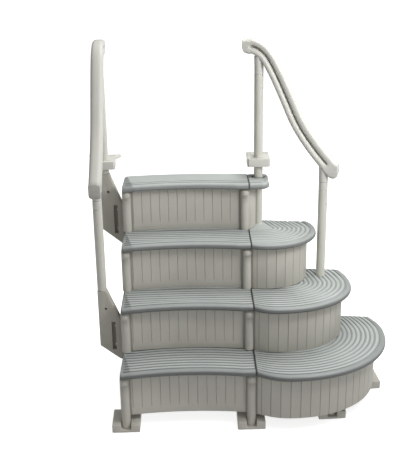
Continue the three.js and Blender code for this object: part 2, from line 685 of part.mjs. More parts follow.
rail("handrail_left", LEFT_UPPER, LEFT_TURN);
post("post_upper_left", LEFT_UPPER, LEFT_TURN, upper, BRACKET_TOP[0] + GAP);
post("post_lower_left", leftLowerPost, LEFT_TURN, lower, BRACKET_TOP[1] + GAP);
snapButton("snap_button_upper_left", LEFT_UPPER, LEFT_TURN, upper);
snapButton("snap_button_lower_left", leftLowerPost, LEFT_TURN, lower);
deckFlange("deck_flange_left", LEFT_UPPER, FLANGE.ear);

export default assembly;
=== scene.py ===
"""Pool entry steps with two handrails: the visual model, in metres, built round the CAD frame.

+Z is up and -Y is the front, where a swimmer steps on.
"""

import functools
import json
import math

import bmesh
import bpy
from mathutils import Euler, Matrix, Vector


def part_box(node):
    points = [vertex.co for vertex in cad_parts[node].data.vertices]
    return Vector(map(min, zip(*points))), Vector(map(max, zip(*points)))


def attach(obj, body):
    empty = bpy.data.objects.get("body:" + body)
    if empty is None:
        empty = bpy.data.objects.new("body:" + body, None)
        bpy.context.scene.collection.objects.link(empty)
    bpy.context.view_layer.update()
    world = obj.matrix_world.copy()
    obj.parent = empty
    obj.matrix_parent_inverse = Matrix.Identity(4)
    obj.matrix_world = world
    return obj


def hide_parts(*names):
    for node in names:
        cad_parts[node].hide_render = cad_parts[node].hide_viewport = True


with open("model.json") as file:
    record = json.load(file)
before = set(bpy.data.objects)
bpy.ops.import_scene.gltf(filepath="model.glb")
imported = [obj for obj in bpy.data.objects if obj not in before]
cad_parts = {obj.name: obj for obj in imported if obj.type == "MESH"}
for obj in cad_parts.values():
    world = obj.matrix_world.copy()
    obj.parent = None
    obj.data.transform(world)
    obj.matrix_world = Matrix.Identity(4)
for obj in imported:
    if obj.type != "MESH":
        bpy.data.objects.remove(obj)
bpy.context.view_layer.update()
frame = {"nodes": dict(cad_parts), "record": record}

STATIC_BODY = "steps"
MM = 0.001

# ---- sizes ----

COLUMN_RADIUS = 24 * MM
KNUCKLE_RADIUS = 23 * MM
KNUCKLE_FORWARD = 12 * MM
KNUCKLE_HEIGHT = 50 * MM
DOME = 20 * MM  # how far down a column's rounded top reaches
COLUMN_SIDES = 72
CREASE_SHADE = 0.4  # painted shade on a column's sides, where the risers enter it
CREASE_FROM, CREASE_FADE = 0.78, 0.2  # shares of the half width over which it comes in
KNUCKLE_SHADE = 0.55  # painted shadow on a column just under its knuckle
KNUCKLE_SHADOW = 9 * MM  # how far down that reaches

SAG = 25 * MM  # how far the middle of a left tread's lip curves away from the user
OVERHANG = 18 * MM  # a left tread's end, outside the column's axis
END_BLOCK = 44 * MM  # straight stretch of lip in front of each column
LIP_CORNER = 10 * MM
EDGE_TOP = 20 * MM  # radius of the lip's upper edge
EDGE_BOTTOM = 12 * MM
BORDER = 34 * MM  # from the lip to the first groove
PITCH = {"left": 27 * MM, "right": 24.5 * MM}  # from groove to groove
GROOVE_DEPTH = 5 * MM
GROOVE_POWER = 2  # a higher power makes narrower grooves
BACK_BAND = 18 * MM  # smooth band at the rear of the left treads
END_PLAIN, END_FADE = 8 * MM, 10 * MM  # where the grooves run out at a left tread's end
SEAM_PLAIN, SEAM_RUN_OUT = 1 * MM, 3 * MM  # and at the seam
SEAM_REACH = 0.75  # share of the add-on's ring that the seam's strip, dark with painted shadow, reaches back
FACET_WIDTH = 62 * MM  # the sloping facet at a left tread's outer front corner
FACET_DROP = 7 * MM
FACET_LENGTH = 240 * MM  # how far back it reaches
BUNCH = (0.0, 0.75, 1.15)  # how much straighter than the lip the grooves run, per step
BUNCH_FADE = (70 * MM, 60 * MM)  # how fast that sets in behind the border and ends at the rear

REAR_SLOPE = 0.145  # of the add-on's rear edges
FULLNESS = 0.95  # below 1, the add-on's fronts bulge out further than an ellipse
FAN_SHAPE = {  # crown x, widest y and rear corner of each add-on tread
    1: (200 * MM, 388 * MM, (706 * MM, 545 * MM)),
    2: (150 * MM, 448 * MM, (535 * MM, 603 * MM)),
    3: (110 * MM, 575 * MM, (365 * MM, 669 * MM)),
}
FAN_DEPTH = {1: 290 * MM, 2: 285 * MM, 3: 235 * MM}  # width of the ring that is built
CHEVRON = {1: 0.05, 2: 0.12, 3: 0.38}  # how sharply the grooves turn in at the rear
CHEVRON_FULL = 80 * MM  # how far from the lip they turn in fully
TREAD_SAMPLES = 118  # points across a tread's top

RISER_THICK = 14 * MM
RISER_INSET = 40 * MM  # behind the lip at the front of the add-on
RISER_SIDE_INSET = {1: 56 * MM, 2: 47 * MM, 3: 46 * MM}  # and at its widest point
RISER_GROOVE = 2.6 * MM  # depth
RISER_GROOVE_HALF = 2.4 * MM  # half width
RISER_GROOVE_POWER = 0.8  # below 1, the grooves are blunter than a V
RISER_SEAT = 3 * MM  # how far a riser's ends reach into its columns
LIP_SHADOW = 9 * MM  # height of the painted shadow under the lip, at a riser's upper edge
# how dark that painted shadow is
LIP_SHADOW_SHADE = 0.7
SEAT_SHADE = 0.6  # painted shade at a riser's ends, where they enter the columns
SEAT_REACH = 9 * MM  # how far out of the column that shade reaches
SEAT_FADE = 7 * MM
SEAT_PLACES = (6 * MM, 9 * MM, 12 * MM)  # extra places along a riser that carry it
RISER_SHADE = {"left": 0.25, "right": 0.6}  # painted shade in its grooves
LEFT_GROOVES = 13
LEFT_GROOVE_PITCH = 47.6 * MM
LEFT_GROOVE_END = 43 * MM  # plain band below the grooves
PLANK = 51 * MM  # plank width on the add-on's risers

TUBE_RADIUS = 24 * MM
TUBE_WALL = 3 * MM
TUBE_SIDES = 56
BUTTON_HOLE = 5 * MM  # radius of the hole that a snap button stands in
BORE_EXTRA = 3 * MM  # how far its cutter reaches past the wall on each side
RAIL_LINE = [  # the middle of a rail, in mm along it from its upper post, and up
    (-84, 1843), (-20, 1837), (37, 1799), (93, 1710), (155, 1582),
    (217, 1452), (296, 1337), (388, 1231), (446, 1174),
]
RAIL_WIDTH = 60 * MM
RAIL_HALF = (38 * MM, 43 * MM)  # half the rail's depth at the upper and lower ends
RAIL_HEAD = [  # upper and lower edge of its sections, in mm along the rail and up
    ((-81, 1876), (-81, 1824)), ((-80, 1876), (-79.5, 1815)), ((-78.5, 1876), (-75, 1808)),
    ((-76, 1876), (-68, 1804)), ((-70, 1876), (-58, 1802)), ((-58, 1876), (-46, 1799)),
]
RAIL_TAIL = [
    ((416, 1263), (366, 1190)), ((424, 1256), (382, 1175)), ((428, 1252.5), (395, 1168)),
    ((430, 1250.5), (406, 1165)), ((431, 1249.5), (416, 1166)), ((431.6, 1248.8), (424, 1170)),
    ((432, 1248.2), (430, 1177)), ((432, 1248), (432, 1188)),
]
RAIL_END_ROUND = 3 * MM
RAIL_SHADE = {"left": 0.14, "right": 0.0}  # painted shade: a little on the left rail
TAIL_SHADE = {"left": 0.4, "right": 0.12}  # and more painted shade on both rails' lower ends
TAIL_FROM, TAIL_FADE = 385 * MM, 30 * MM  # where along the rail that begins
WEB_ENDS = (-40 * MM, 379 * MM)  # where along the rail the recess in its sides ends
WEB_FADE = (6 * MM, 8 * MM)
STUB_SIDES = 48
STUB_INTO = {"upper": 1790 * MM, "lower": 1225 * MM}  # height of a stub's end in the rail
RING_AT = 1142 * MM  # height of a moulded ring on the lower stub
STUB_FOOT = [  # radius and height above the joint in mm, and painted shade in the joint
    (20.5, -100, 1.0), (20.5, 0.3, 1.0), (22.6, 0.4, 1.0), (23.6, 1.2, 0.0), (24.0, 3.0, 0.0),
]
STUB_PLAIN = [(24.0, 45.0, 0.0)]
STUB_RING = [  # the same, above the ring, with painted shade in its groove
    (24.0, -6.0, 0.0), (24.0, -4.0, 0.0), (22.8, -1.5, 0.0), (22.8, 1.5, 1.0), (23.6, 2.0, 0.0),
]
STUB_END = [(25.5, -10.0, 0.0), (25.5, 0.0, 0.0)]  # and above the end in the rail


box = functools.cache(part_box)


def centre(node):
    low, high = box(node)
    return (low + high) / 2


LIP_HEIGHT = box("tread_left_1")[1].z - box("tread_left_1")[0].z
STEPS = (1, 2, 3, 4)
FRONT = {n: box(f"tread_left_{n}")[0].y for n in STEPS}
COLUMN_Y = {n: box(f"column_centre_{n}")[1].y - COLUMN_RADIUS for n in STEPS}
LEFT_COLUMN_X = {n: centre(f"column_left_{n}").x for n in STEPS}
SPLAY = (LEFT_COLUMN_X[4] - LEFT_COLUMN_X[1]) / (COLUMN_Y[4] - COLUMN_Y[1])
SEAM_LEFT = box("tread_left_1")[1].x
SEAM_RIGHT = box("tread_right_1")[0].x


def left_axis(y):
    return LEFT_COLUMN_X[1] + SPLAY * (y - COLUMN_Y[1])


# ---- materials ----


CLOUD = (5.0, 5.0)  # scale and detail of the faint mottling
GRAIN = (420.0, 3.0)
STREAKS = (900.0, 2.0)
GRAIN_HEIGHT = 0.6 * MM
ROUGHNESS_SPREAD = 0.12


def new_material(name):
    """A material, with its nodes, its links and its shader."""
    material = bpy.data.materials.new(name)
    material.use_nodes = True
    tree = material.node_tree
    return material, tree.nodes, tree.links, tree.nodes["Principled BSDF"]


def add_noise(nodes, links, place, noise_kind):
    noise = nodes.new("ShaderNodeTexNoise")
    noise.inputs["Scale"].default_value, noise.inputs["Detail"].default_value = noise_kind
    links.new(place.outputs["Object"], noise.inputs["Vector"])
    return noise.outputs["Fac"]


def add_ramp(nodes, links, source, *stops):
    """A colour ramp through two stops of a position and a colour."""
    ramp = nodes.new("ShaderNodeValToRGB")
    for element, (position, color) in zip(ramp.color_ramp.elements, stops):
        element.position = position
        element.color = (*color, 1)
    links.new(source, ramp.inputs["Fac"])
    return ramp.outputs["Color"]


def vary_roughness(nodes, links, source, low, high):
    mapped = nodes.new("ShaderNodeMapRange")
    mapped.inputs["To Min"].default_value = low
    mapped.inputs["To Max"].default_value = high
    links.new(source, mapped.inputs["Value"])
    links.new(mapped.outputs["Result"], nodes["Principled BSDF"].inputs["Roughness"])


def moulded_plastic(name, color, roughness, painted_shade_color, mottle, grain=0.35):
    """Moulded plastic: faint mottling, a fine grain, and painted shade, the dark colour mixed in
    wherever a mesh's groove attribute asks for it.
    """
    material, nodes, links, shader = new_material(name)
    place = nodes.new("ShaderNodeTexCoord")
    cloud = add_noise(nodes, links, place, CLOUD)
    dark = [c * (1 - mottle) for c in color]
    light = [min(1.0, c * (1 + mottle * 0.7)) for c in color]
    base = add_ramp(nodes, links, cloud, (0.35, dark), (0.65, light))

    # The groove attribute is each vertex's share of painted shade: in grooves, round lips, seams,
    # creases and recesses.
    depth = nodes.new("ShaderNodeAttribute")
    depth.attribute_name = "groove"
    shade = nodes.new("ShaderNodeMix")
    shade.data_type = "RGBA"
    shade.inputs["B"].default_value = (*painted_shade_color, 1)
    links.new(depth.outputs["Fac"], shade.inputs["Factor"])
    links.new(base, shade.inputs["A"])
    links.new(shade.outputs["Result"], shader.inputs["Base Color"])

    bump = nodes.new("ShaderNodeBump")
    bump.inputs["Strength"].default_value = grain
    bump.inputs["Distance"].default_value = GRAIN_HEIGHT
    links.new(add_noise(nodes, links, place, GRAIN), bump.inputs["Height"])
    links.new(bump.outputs["Normal"], shader.inputs["Normal"])

    vary_roughness(nodes, links, cloud, roughness - ROUGHNESS_SPREAD, roughness + ROUGHNESS_SPREAD)
    shader.inputs["Specular IOR Level"].default_value = 0.35
    return material


def brushed_steel(name):
    """Steel with fine streaks."""
    material, nodes, links, shader = new_material(name)
    shader.inputs["Metallic"].default_value = 1.0
    streak = add_noise(nodes, links, nodes.new("ShaderNodeTexCoord"), STREAKS)
    tint = add_ramp(nodes, links, streak, (0.0, (0.34, 0.35, 0.36)), (1.0, (0.55, 0.56, 0.57)))
    links.new(tint, shader.inputs["Base Color"])
    vary_roughness(nodes, links, streak, 0.25, 0.45)
    return material


SLOTS = {  # a plastic's colour and roughness, then the dark colour of its painted shade and its mottling
    "tread_plastic": moulded_plastic(
        "tread", (0.445, 0.472, 0.455), 0.5, (0.04, 0.043, 0.043), 0.05
    ),
    "warm_plastic": moulded_plastic("warm", (0.56, 0.542, 0.484), 0.58, (0.13, 0.117, 0.1), 0.06),
    "rail_plastic": moulded_plastic(
        "rail", (0.64, 0.633, 0.583), 0.4, (0.16, 0.145, 0.12), 0.03, grain=0.2
    ),
    "tube_plastic": moulded_plastic(
        "tube", (0.62, 0.613, 0.55), 0.45, (0.17, 0.16, 0.14), 0.04, grain=0.2
    ),
    "bracket_plastic": moulded_plastic(
        "bracket", (0.45, 0.435, 0.38), 0.55, (0.12, 0.09, 0.065), 0.08
    ),
    "steel": brushed_steel("steel"),
}
NODE_SLOT = {entry["node"]: entry["material_slot"] for entry in frame["record"]["subparts"]}

# ---- mesh helpers ----

SHARP = math.radians(38)  # edges that turn more than this are shaded sharp
BEVEL_FROM = math.radians(30)  # and those of CAD shapes that turn more than this are rounded


def new_object(name, bm):
    """An object in the scene with a bmesh's shape."""
    mesh = bpy.data.meshes.new(name)
    bm.to_mesh(mesh)
    made = bpy.data.objects.new(name, mesh)
    bpy.context.scene.collection.objects.link(made)
    return made


def add_piece(node, bm, grooves=None, body=STATIC_BODY):
    """Turns a bmesh into the piece that stands for a CAD node. grooves gives each
    vertex's share of painted shade."""
    bmesh.ops.recalc_face_normals(bm, faces=bm.faces)
    for face in bm.faces:
        face.smooth = True
    for edge in bm.edges:
        edge.smooth = not edge.is_manifold or edge.calc_face_angle(0) < SHARP
    piece = new_object(node + "_fine", bm)
    bm.free()
    # The groove attribute holds each vertex's share of painted shade.
    layer = piece.data.attributes.new("groove", "FLOAT", "POINT")
    if grooves:
        layer.data.foreach_set("value", grooves)
    slot = NODE_SLOT[node]
    piece.data.materials.append(SLOTS[slot])
    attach(piece, body)
    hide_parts(node)
    return piece


def cut_away(bm, cutter):
    """Cuts the cutter, a closed bmesh that is freed, out of the bmesh."""
    pieces = []
    for name, source in (("blank", bm), ("cutter", cutter)):
        bmesh.ops.recalc_face_normals(source, faces=source.faces)
        pieces.append(new_object(name, source))
    blank = pieces[0]
    cut = blank.modifiers.new("cut", "BOOLEAN")
    cut.operation = "DIFFERENCE"
    cut.solver = "EXACT"
    cut.object = pieces[1]
    bm.clear()
    bm.from_mesh(blank.evaluated_get(bpy.context.evaluated_depsgraph_get()).data)
    cutter.free()
    for piece in pieces:
        bpy.data.meshes.remove(piece.data)


def refined(node, bevel, body=STATIC_BODY, shade=None, cutter=None):
    """A CAD node's shape again with rounded edges. shade gives a point's share of painted
    shade, and cutter is a closed bmesh that is cut from the shape first."""
    bm = bmesh.new()
    bm.from_mesh(frame["nodes"][node].data)
    bmesh.ops.remove_doubles(bm, verts=bm.verts, dist=1e-5)
    bmesh.ops.dissolve_limit(bm, angle_limit=math.radians(0.6), verts=bm.verts, edges=bm.edges)
    if cutter:
        cut_away(bm, cutter)
    edges = [e for e in bm.edges if e.is_manifold and e.calc_face_angle(0) > BEVEL_FROM]
    bmesh.ops.bevel(
        bm, geom=edges, offset=bevel, segments=3, profile=0.5, affect="EDGES", clamp_overlap=True
    )
    bm.verts.index_update()
    grooves = [shade(v.co) for v in bm.verts] if shade else None
    return add_piece(node, bm, grooves, body)


def bridge(bm, near, far):
    """Joins two rings of vertices by quads."""
    for i in range(len(near)):
        j = (i + 1) % len(near)
        bm.faces.new((near[i], near[j], far[j], far[i]))


def add_rings(bm, rings, capped=False):
    """Adds rings of points, each joined to the next, and returns their vertices."""
    made = [[bm.verts.new(point) for point in ring] for ring in rings]
    for near, far in zip(made, made[1:]):
        bridge(bm, near, far)
    if capped:
        bm.faces.new(made[0])
        bm.faces.new(reversed(made[-1]))
    return made


def circle(count):
    """(cosine, sine) pairs all the way round."""
    angles = [2 * math.pi * i / count for i in range(count)]
    return [(math.cos(angle), math.sin(angle)) for angle in angles]


def spread(start, end, count):
    return [start + (end - start) * i / (count - 1) for i in range(count)]


def smooth_step(value):
    value = min(1.0, max(0.0, value))
    return value * value * (3 - 2 * value)


# ---- treads ----


def groove_share(across, pitch, last=1.0):
    """1 at the bottom of a groove, 0 on a ridge."""
    if across < BORDER - pitch / 2 or across > last:
        return 0.0
    wave = 0.5 + 0.5 * math.cos(2 * math.pi * (across - BORDER) / pitch)
    return wave**GROOVE_POWER


GROOVE_SHADE = 0.9  # share of painted shade in the grooves
FAN_SHADE = {  # and in the add-on's grooves, at its crown, its side and its rear
    1: (0.95, 0.5, 0.85),
    2: (0.95, 0.42, 0.85),
    3: (0.55, 0.35, 0.8),
}
SIDE_FROM, SIDE_FADE = 0.15, 0.4  # angles of the lip over which that changes
REAR_FROM, REAR_FADE = 1.1, 0.5
# painted shadow in the joint between a step's two treads
SEAM_SHADE = 0.95
SEAM_LINE, SEAM_FADE = 3.5 * MM, 2 * MM  # the painted shadow on a left tread beside the seam
FAN_SEAM = (-1, -0.995, -0.985)  # angles of the lip that carry the painted shadow on the add-on
FAN_RUN_OUT = 0.03  # angle over which the grooves run out there
BORDER_SHADE = (0.4, 0.33, 0.26, 0.08)  # painted shade on the border before the first groove, from the lowest step up
# painted shade round the lip, from the lowest step up
LIP_SHADE = (0.8, 0.75, 0.7, 0.5)
# painted shade on the sloping facet
FACET_SHADE = 0.4


def lip_profile(depth, samples):
    """(inset, drop, groove) round a tread's section: along the underside to the lip,
    round the lip, and back over the top. Only the top has grooves."""
    points = [(depth, -LIP_HEIGHT), (depth * 0.5, -LIP_HEIGHT)]
    for angle in spread(0, math.pi / 2, 7):
        inset = EDGE_BOTTOM * (1 - math.sin(angle))
        points.append((inset, -LIP_HEIGHT + EDGE_BOTTOM * (1 - math.cos(angle))))
    for angle in spread(0, math.pi / 2, 7):
        points.append((EDGE_TOP * (1 - math.cos(angle)), -EDGE_TOP * (1 - math.sin(angle))))
    for inset in spread(EDGE_TOP, depth - 2 * MM, samples)[1:]:
        points.append((inset, 0.0))
    points.append((depth, -2.5 * MM))
    return points


def even_shade(_station):
    return GROOVE_SHADE


def build_tread(
    node, stations, point_at, depth_at, groove_at, samples, seam_at, extra=None, shade_at=even_shade
):
    """A tread as one closed skin: a ring round the section at each station of the lip.

    point_at(station, inset) gives the plan position and how far the top lies below its
    full height, groove_at(station, inset) the groove share, seam_at(station) how much of
    the joint's painted shadow a station has, and shade_at(station) how much painted shade its
    grooves have.
    extra(bm, grooves) may add to the mesh."""
    top = box(node)[1].z
    step = int(node[-1])
    border_shade, lip_shade = BORDER_SHADE[step - 1], LIP_SHADE[step - 1]
    rows = []
    grooves = []
    for station in stations:
        row = []
        for inset, drop in lip_profile(depth_at(station), samples):
            share = groove_at(station, inset) if drop == 0.0 else 0.0
            x, y, lower = point_at(station, inset)
            row.append((x, y, top + drop - share * GROOVE_DEPTH - lower))
            # Painted shade: a dark band up to the first groove, darker round the lip, and on the
            # sloping facet.
            lip = border_shade * smooth_step((0.95 * BORDER - inset) / (0.15 * BORDER))
            lip = max(lip, lip_shade * smooth_step(-drop / (0.7 * EDGE_TOP)))
            painted_facet_shade = FACET_SHADE * smooth_step(lower / (0.12 * FACET_DROP))
            groove_painted_shade = painted_facet_shade + (1 - painted_facet_shade) * shade_at(station) * share
            grooves.append(max(SEAM_SHADE * seam_at(station), lip, groove_painted_shade))
        rows.append(row)
    bm = bmesh.new()
    add_rings(bm, rows, capped=True)
    bmesh.ops.triangulate(bm, faces=[f for f in bm.faces if len(f.verts) > 4])
    if extra:
        extra(bm, grooves)
    add_piece(node, bm, grooves)


def add_prism(bm, grooves, outline, low, high, share=0.0):
    """Adds a closed upright prism. outline is a list of (x, y) points, share how much painted shade
    it has.
    """
    foot = [bm.verts.new((x, y, low)) for x, y in outline]
    head = [bm.verts.new((x, y, high)) for x, y in outline]
    bm.faces.new(reversed(foot))
    bm.faces.new(head)
    bridge(bm, foot, head)
    grooves.extend([share] * (2 * len(outline)))


def fill_seam(bm, grooves, step, rear):
    """A strip, set down a little, that closes the joint between a step's two treads, dark all over
    with painted shadow.
    """
    top = box(f"tread_right_{step}")[1].z
    left, right, front = SEAM_LEFT + 0.2 * MM, SEAM_RIGHT + 0.2 * MM, FRONT[step] + 9 * MM
    outline = [(left, front), (right, front), (right, rear), (left, rear)]
    add_prism(bm, grooves, outline, top - LIP_HEIGHT + 2 * MM, top - 4 * MM, 1.0)


def left_tread(step):
    node = f"tread_left_{step}"
    top_step = step == 4
    low, high = box(node)
    front = FRONT[step]
    rear = high.y - (SAG if top_step else 0.0)
    left_end = left_axis(front) - OVERHANG
    arc_start = left_axis(front) + END_BLOCK
    arc_end = -END_BLOCK
    half = (arc_end - arc_start) / 2
    radius = (half * half + SAG * SAG) / (2 * SAG)

    def sag(x):
        if x <= arc_start or x >= arc_end:
            return 0.0
        away = x - arc_start - half
        return SAG - radius + math.sqrt(radius * radius - away * away)

    def rear_y(x):
        if not top_step:
            return rear
        part = (x - low.x) / (SEAM_LEFT - low.x)
        return rear + SAG * 4 * part * (1 - part)

    def lip_y(x):
        rounding = max(0.0, LIP_CORNER - (x - left_end))
        return front + sag(x) + LIP_CORNER - math.sqrt(LIP_CORNER**2 - rounding**2)

    def depth_at(x):
        return rear_y(x) - lip_y(x)

    def bunched(x, inset):
        """Moves the grooves forward in the middle, where they run straighter than the lip."""
        if top_step:
            return inset
        depth = depth_at(x)
        fade = smooth_step((inset - BORDER) / BUNCH_FADE[0])
        fade *= smooth_step((depth - inset) / BUNCH_FADE[1])
        return inset - BUNCH[step - 1] * sag(x) * fade

    def point_at(x, inset):
        moved = bunched(x, inset)
        y = lip_y(x) + moved
        splayed = x + SPLAY * (y - front) * (SEAM_LEFT - x) / (SEAM_LEFT - left_end)
        reach = FACET_WIDTH * max(0.0, 1 - moved / FACET_LENGTH)
        lower = FACET_DROP * max(0.0, 1 - (x - left_end) / reach) if reach > 1e-4 else 0.0
        return splayed, y, lower

    def groove_at(x, inset):
        if top_step:
            last = BORDER + 1.5 * PITCH["left"]
        else:
            last = depth_at(x) - BACK_BAND
        end_fade = smooth_step((x - left_end - END_PLAIN) / END_FADE)
        seam_fade = smooth_step((SEAM_LEFT - x - SEAM_PLAIN) / SEAM_RUN_OUT)
        return groove_share(inset, PITCH["left"], last) * end_fade * seam_fade

    corner = [left_end + LIP_CORNER * (1 - math.cos(a)) for a in spread(0, math.pi / 2, 5)]
    facet = spread(left_end + LIP_CORNER, arc_start - 1 * MM, 18)[1:]
    arc = spread(arc_start, arc_end, 40)
    block = spread(arc_end + 2 * MM, SEAM_LEFT - 4 * MM, 5)
    seam = [SEAM_LEFT - 2 * MM, SEAM_LEFT - 0.8 * MM, SEAM_LEFT]
    stations = corner + facet + arc + block + seam

    def seam_at(x):
        return smooth_step((x - SEAM_LEFT + SEAM_LINE) / SEAM_FADE)

    build_tread(node, stations, point_at, depth_at, groove_at, TREAD_SAMPLES, seam_at)


def fan_curve(step, inset, angle, side_inset=None):
    """A point of an add-on lip or of a curve inset from it. The angle runs from -1 at
    the seam through 0 at the crown and 1 at the widest point to 2 at the rear edge."""
    crown_x, right_y, corner = FAN_SHAPE[step]
    low, high = box(f"tread_right_{step}")
    across = high.x - crown_x
    depth = right_y - low.y
    inner = across - (inset if side_inset is None else side_inset)
    if angle <= 0:
        seam_sine = (right_y - FRONT[step]) / depth
        left_across = (crown_x - SEAM_RIGHT) / math.sqrt(1 - seam_sine**2)
        x = crown_x + angle * (crown_x - SEAM_RIGHT)
        sine = math.sqrt(1 - ((x - crown_x) / left_across) ** 2)
        return x, right_y - (depth - inset) * sine
    if angle <= 1:
        turn = math.pi / 2 * (1 - angle)
        outward = inner * max(0.0, math.cos(turn)) ** FULLNESS
        return crown_x + outward, right_y - (depth - inset) * math.sin(turn) ** FULLNESS
    corner_cosine = (corner[0] - crown_x) / across
    rear_depth = (corner[1] - right_y) / math.sqrt(1 - corner_cosine**2)
    full = math.asin(min(1.0, (corner[1] + REAR_SLOPE * inset - right_y) / rear_depth))
    turn = full * (angle - 1)
    y = right_y + rear_depth * math.sin(turn)
    chevron = CHEVRON[step] * (y - right_y) * min(1.0, inset / CHEVRON_FULL)
    return crown_x + inner * math.cos(turn) - chevron, y


def right_tread(step):
    node = f"tread_right_{step}"

    def point_at(angle, inset):
        x, y = fan_curve(step, inset, angle)
        return x, y, 0.0

    def groove_at(angle, inset):
        seam_fade = smooth_step((angle - FAN_SEAM[-1]) / FAN_RUN_OUT)
        return groove_share(inset, PITCH["right"], FAN_DEPTH[step]) * seam_fade

    def fill(bm, grooves):
        """Closes the seam, and the third tread's top from the ring to its rear corner."""
        fill_seam(bm, grooves, step, FRONT[step] + SEAM_REACH * FAN_DEPTH[step])
        if step < 3:
            return
        inset = FAN_DEPTH[step] - 1 * MM
        inner = [fan_curve(step, inset, angle) for angle in spread(-1, 2, 40)]
        rear_y = inner[-1][1] + REAR_SLOPE * (inner[-1][0] - SEAM_RIGHT)
        top = box(node)[1].z
        outline = [*inner, (SEAM_RIGHT, rear_y)]
        add_prism(bm, grooves, outline, top - LIP_HEIGHT + 1 * MM, top - 1.5 * MM)

    def seam_at(angle):
        return 1.0 if angle in FAN_SEAM else 0.0

    def shade_at(angle):
        crown, side, rear = FAN_SHADE[step]
        front = crown + (side - crown) * smooth_step((angle - SIDE_FROM) / SIDE_FADE)
        return front + (rear - front) * smooth_step((angle - REAR_FROM) / REAR_FADE)

    angles = [*FAN_SEAM, *spread(-0.96, 0, 16), *spread(0, 1, 56)[1:], *spread(1, 2, 16)[1:]]
    shape = (point_at, lambda _angle: FAN_DEPTH[step], groove_at)
    build_tread(node, angles, *shape, TREAD_SAMPLES, seam_at, fill, shade_at)


TOP_FRONT_CORNER = 46 * MM
TOP_STRAIGHT = 34 * MM  # how far in from the lip its sections turn towards their hub
TOP_SAMPLES = 60
# painted shadow beside the seam on the small top tread
TOP_SEAM_SHARE = 0.8
TOP_GROOVED, TOP_GROOVE_FADE = 15, 6  # stations of the lip at which the grooves run out
SHELF_FRONT = 638 * MM  # where the small top tread steps down, in front of the post
SHELF_DROP = 3 * MM
SHELF_CORNER = 24 * MM
SHELF_SIDES = 64
SHELF_EDGE = 4 * MM  # height of the shelf's sloping edge
SHELF_SLOPE = 0.06  # share of the way to the post that it takes up
# painted shade on the shelf, its sides and its top
SHELF_SIDE_SHADE, SHELF_TOP_SHADE = 0.15, 0.3
POST_CLEARANCE = 0.7 * MM
SHELF_EXTRA = 12 * MM  # how far the shelf reaches past the CAD node's rear
NOTCHES = [  # dark prisms of painted shadow where the notches are: across, back, half width and half depth in mm, from the post's axis
    (-31, 4, 8, 15), (-45, -8, 4, 9), (-32, -28, 4, 7), (-20, -31, 4, 7), (-8, -33, 4, 7),
    (4, -33, 4, 7), (16, -32, 4, 7), (28, -28, 4, 7), (30, -10, 4, 9), (38, 2, 4, 9),
]


